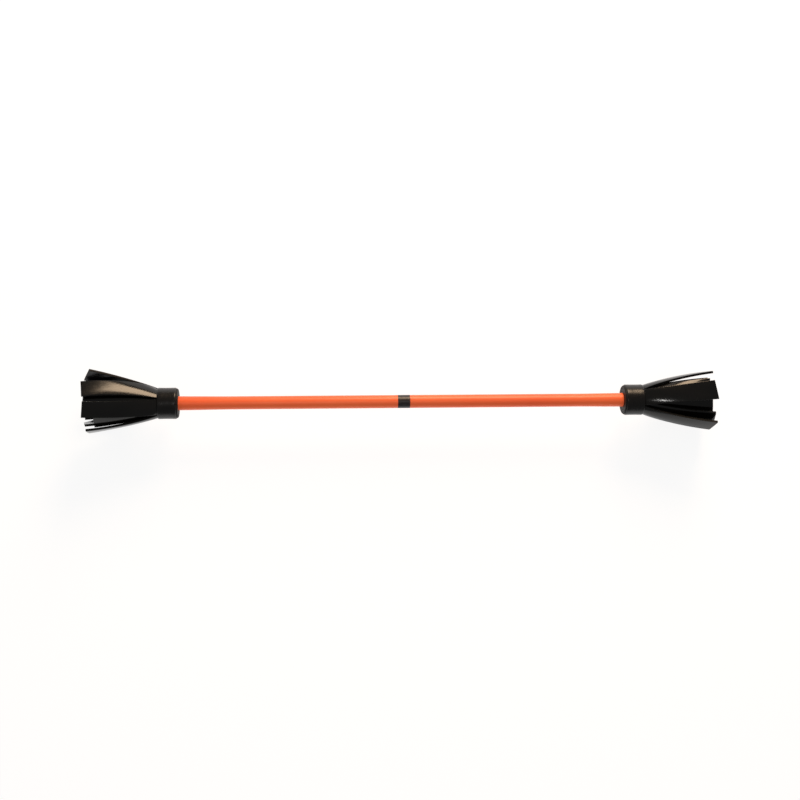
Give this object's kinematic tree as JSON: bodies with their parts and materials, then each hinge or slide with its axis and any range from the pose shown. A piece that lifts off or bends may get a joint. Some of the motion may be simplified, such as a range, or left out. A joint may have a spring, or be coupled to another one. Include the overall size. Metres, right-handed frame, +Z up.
{
  "type": "juggling flower stick",
  "caption": "Juggling stick with a sleeved rod, a centre balance band and a flared tassel of flexible rubber strips rolled onto each end.",
  "frame": {"origin": "centre of the stick on its axis, in the middle of the centre band", "axes": "+X along the stick, +Z up from the surface it lies on, +Y across the stick"},
  "size_m": [0.6408, 0.063, 0.0642],
  "materials": {
    "fibreglass": "drawn glass fibre and resin rod",
    "orange_sleeve": "smooth satin orange silicone",
    "band_tape": "stretched black tape, satin",
    "plug_rubber": "moulded black rubber",
    "collar_wrap": "smooth semi-gloss black wrap, bare",
    "fringe_rubber": "smooth calendered black rubber sheet with cut edges"
  },
  "bodies": {
    "stick": {"core_rod": "fibreglass", "grip_sleeve": "orange_sleeve", "centre_band": "band_tape", "right_end_plug": "plug_rubber", "right_tassel_root": "fringe_rubber", "right_collar_wrap": "collar_wrap", "left_end_plug": "plug_rubber", "left_tassel_root": "fringe_rubber", "left_collar_wrap": "collar_wrap"},
    "right_outer_strip_1": {"right_outer_strip_1": "fringe_rubber"},
    "right_outer_strip_2": {"right_outer_strip_2": "fringe_rubber"},
    "right_outer_strip_3": {"right_outer_strip_3": "fringe_rubber"},
    "right_outer_strip_4": {"right_outer_strip_4": "fringe_rubber"},
    "right_outer_strip_5": {"right_outer_strip_5": "fringe_rubber"},
    "right_middle_strip_1": {"right_middle_strip_1": "fringe_rubber"},
    "right_middle_strip_2": {"right_middle_strip_2": "fringe_rubber"},
    "right_middle_strip_3": {"right_middle_strip_3": "fringe_rubber"},
    "right_middle_strip_4": {"right_middle_strip_4": "fringe_rubber"},
    "right_inner_strip_1": {"right_inner_strip_1": "fringe_rubber"},
    "right_inner_strip_2": {"right_inner_strip_2": "fringe_rubber"},
    "right_inner_strip_3": {"right_inner_strip_3": "fringe_rubber"},
    "left_outer_strip_1": {"left_outer_strip_1": "fringe_rubber"},
    "left_outer_strip_2": {"left_outer_strip_2": "fringe_rubber"},
    "left_outer_strip_3": {"left_outer_strip_3": "fringe_rubber"},
    "left_outer_strip_4": {"left_outer_strip_4": "fringe_rubber"},
    "left_outer_strip_5": {"left_outer_strip_5": "fringe_rubber"},
    "left_middle_strip_1": {"left_middle_strip_1": "fringe_rubber"},
    "left_middle_strip_2": {"left_middle_strip_2": "fringe_rubber"},
    "left_middle_strip_3": {"left_middle_strip_3": "fringe_rubber"},
    "left_middle_strip_4": {"left_middle_strip_4": "fringe_rubber"},
    "left_inner_strip_1": {"left_inner_strip_1": "fringe_rubber"},
    "left_inner_strip_2": {"left_inner_strip_2": "fringe_rubber"},
    "left_inner_strip_3": {"left_inner_strip_3": "fringe_rubber"}
  },
  "joints": [
    {"name": "right_outer_strip_1_bend", "type": "hinge", "parent": "stick", "child": "right_outer_strip_1", "pos_m": [0.2425, 0.00279, 0.01433], "axis": [0, -0.9816, 0.1908], "range_deg": [0, 75], "stiffness_Nm_per_rad": 0.05},
    {"name": "right_outer_strip_2_bend", "type": "hinge", "parent": "stick", "child": "right_outer_strip_2", "pos_m": [0.2425, 0.01449, 0.00178], "axis": [0, -0.1219, 0.9925], "range_deg": [0, 75], "stiffness_Nm_per_rad": 0.05},
    {"name": "right_outer_strip_3_bend", "type": "hinge", "parent": "stick", "child": "right_outer_strip_3", "pos_m": [0.2425, 0.00617, -0.01323], "axis": [0, 0.9063, 0.4226], "range_deg": [0, 75], "stiffness_Nm_per_rad": 0.05},
    {"name": "right_outer_strip_4_bend", "type": "hinge", "parent": "stick", "child": "right_outer_strip_4", "pos_m": [0.2425, -0.01068, -0.00996], "axis": [0, 0.682, -0.7314], "range_deg": [0, 75], "stiffness_Nm_per_rad": 0.05},
    {"name": "right_outer_strip_5_bend", "type": "hinge", "parent": "stick", "child": "right_outer_strip_5", "pos_m": [0.2425, -0.01277, 0.00708], "axis": [0, -0.4848, -0.8746], "range_deg": [0, 75], "stiffness_Nm_per_rad": 0.05},
    {"name": "right_middle_strip_1_bend", "type": "hinge", "parent": "stick", "child": "right_middle_strip_1", "pos_m": [0.2425, 0.00659, 0.00843], "axis": [0, -0.788, 0.6157], "range_deg": [-2, 2], "stiffness_Nm_per_rad": 0.05},
    {"name": "right_middle_strip_2_bend", "type": "hinge", "parent": "stick", "child": "right_middle_strip_2", "pos_m": [0.2425, 0.00843, -0.00659], "axis": [0, 0.6157, 0.788], "range_deg": [-2, 2], "stiffness_Nm_per_rad": 0.05},
    {"name": "right_middle_strip_3_bend", "type": "hinge", "parent": "stick", "child": "right_middle_strip_3", "pos_m": [0.2425, -0.00659, -0.00843], "axis": [0, 0.788, -0.6157], "range_deg": [-2, 2], "stiffness_Nm_per_rad": 0.05},
    {"name": "right_middle_strip_4_bend", "type": "hinge", "parent": "stick", "child": "right_middle_strip_4", "pos_m": [0.2425, -0.00843, 0.00659], "axis": [0, -0.6157, -0.788], "range_deg": [-2, 2], "stiffness_Nm_per_rad": 0.05},
    {"name": "right_inner_strip_1_bend", "type": "hinge", "parent": "stick", "child": "right_inner_strip_1", "pos_m": [0.2425, -0.0021, 0.00647], "axis": [0, -0.9511, -0.309], "range_deg": [-6, 0], "stiffness_Nm_per_rad": 0.05},
    {"name": "right_inner_strip_2_bend", "type": "hinge", "parent": "stick", "child": "right_inner_strip_2", "pos_m": [0.2425, 0.00665, -0.00141], "axis": [0, 0.2079, 0.9781], "range_deg": [-6, 0], "stiffness_Nm_per_rad": 0.05},
    {"name": "right_inner_strip_3_bend", "type": "hinge", "parent": "stick", "child": "right_inner_strip_3", "pos_m": [0.2425, -0.00455, -0.00505], "axis": [0, 0.7431, -0.6691], "range_deg": [-6, 0], "stiffness_Nm_per_rad": 0.05},
    {"name": "left_outer_strip_1_bend", "type": "hinge", "parent": "stick", "child": "left_outer_strip_1", "pos_m": [-0.2425, 0.01196, 0.00837], "axis": [0, 0.5736, -0.8192], "range_deg": [0, 75], "stiffness_Nm_per_rad": 0.05},
    {"name": "left_outer_strip_2_bend", "type": "hinge", "parent": "stick", "child": "left_outer_strip_2", "pos_m": [-0.2425, 0.01166, -0.00879], "axis": [0, -0.6018, -0.7986], "range_deg": [0, 75], "stiffness_Nm_per_rad": 0.05},
    {"name": "left_outer_strip_3_bend", "type": "hinge", "parent": "stick", "child": "left_outer_strip_3", "pos_m": [-0.2425, -0.00475, -0.0138], "axis": [0, -0.9455, 0.3256], "range_deg": [0, 75], "stiffness_Nm_per_rad": 0.05},
    {"name": "left_outer_strip_4_bend", "type": "hinge", "parent": "stick", "child": "left_outer_strip_4", "pos_m": [-0.2425, -0.0146, 0.00026], "axis": [0, 0.0175, 0.9998], "range_deg": [0, 75], "stiffness_Nm_per_rad": 0.05},
    {"name": "left_outer_strip_5_bend", "type": "hinge", "parent": "stick", "child": "left_outer_strip_5", "pos_m": [-0.2425, -0.00427, 0.01396], "axis": [0, 0.9563, 0.2924], "range_deg": [0, 75], "stiffness_Nm_per_rad": 0.05},
    {"name": "left_middle_strip_1_bend", "type": "hinge", "parent": "stick", "child": "left_middle_strip_1", "pos_m": [-0.2425, 0.00688, 0.0082], "axis": [0, 0.766, -0.6428], "range_deg": [-2, 2], "stiffness_Nm_per_rad": 0.05},
    {"name": "left_middle_strip_2_bend", "type": "hinge", "parent": "stick", "child": "left_middle_strip_2", "pos_m": [-0.2425, 0.0082, -0.00688], "axis": [0, -0.6428, -0.766], "range_deg": [-2, 2], "stiffness_Nm_per_rad": 0.05},
    {"name": "left_middle_strip_3_bend", "type": "hinge", "parent": "stick", "child": "left_middle_strip_3", "pos_m": [-0.2425, -0.00688, -0.0082], "axis": [0, -0.766, 0.6428], "range_deg": [-2, 2], "stiffness_Nm_per_rad": 0.05},
    {"name": "left_middle_strip_4_bend", "type": "hinge", "parent": "stick", "child": "left_middle_strip_4", "pos_m": [-0.2425, -0.0082, 0.00688], "axis": [0, 0.6428, 0.766], "range_deg": [-2, 2], "stiffness_Nm_per_rad": 0.05},
    {"name": "left_inner_strip_1_bend", "type": "hinge", "parent": "stick", "child": "left_inner_strip_1", "pos_m": [-0.2425, 0.0034, 0.00589], "axis": [0, 0.866, -0.5], "range_deg": [-6, 0], "stiffness_Nm_per_rad": 0.05},
    {"name": "left_inner_strip_2_bend", "type": "hinge", "parent": "stick", "child": "left_inner_strip_2", "pos_m": [-0.2425, 0.0034, -0.00589], "axis": [0, -0.866, -0.5], "range_deg": [-6, 0], "stiffness_Nm_per_rad": 0.05},
    {"name": "left_inner_strip_3_bend", "type": "hinge", "parent": "stick", "child": "left_inner_strip_3", "pos_m": [-0.2425, -0.0068, 0], "axis": [0, 0, 1], "range_deg": [-6, 0], "stiffness_Nm_per_rad": 0.05}
  ]
}
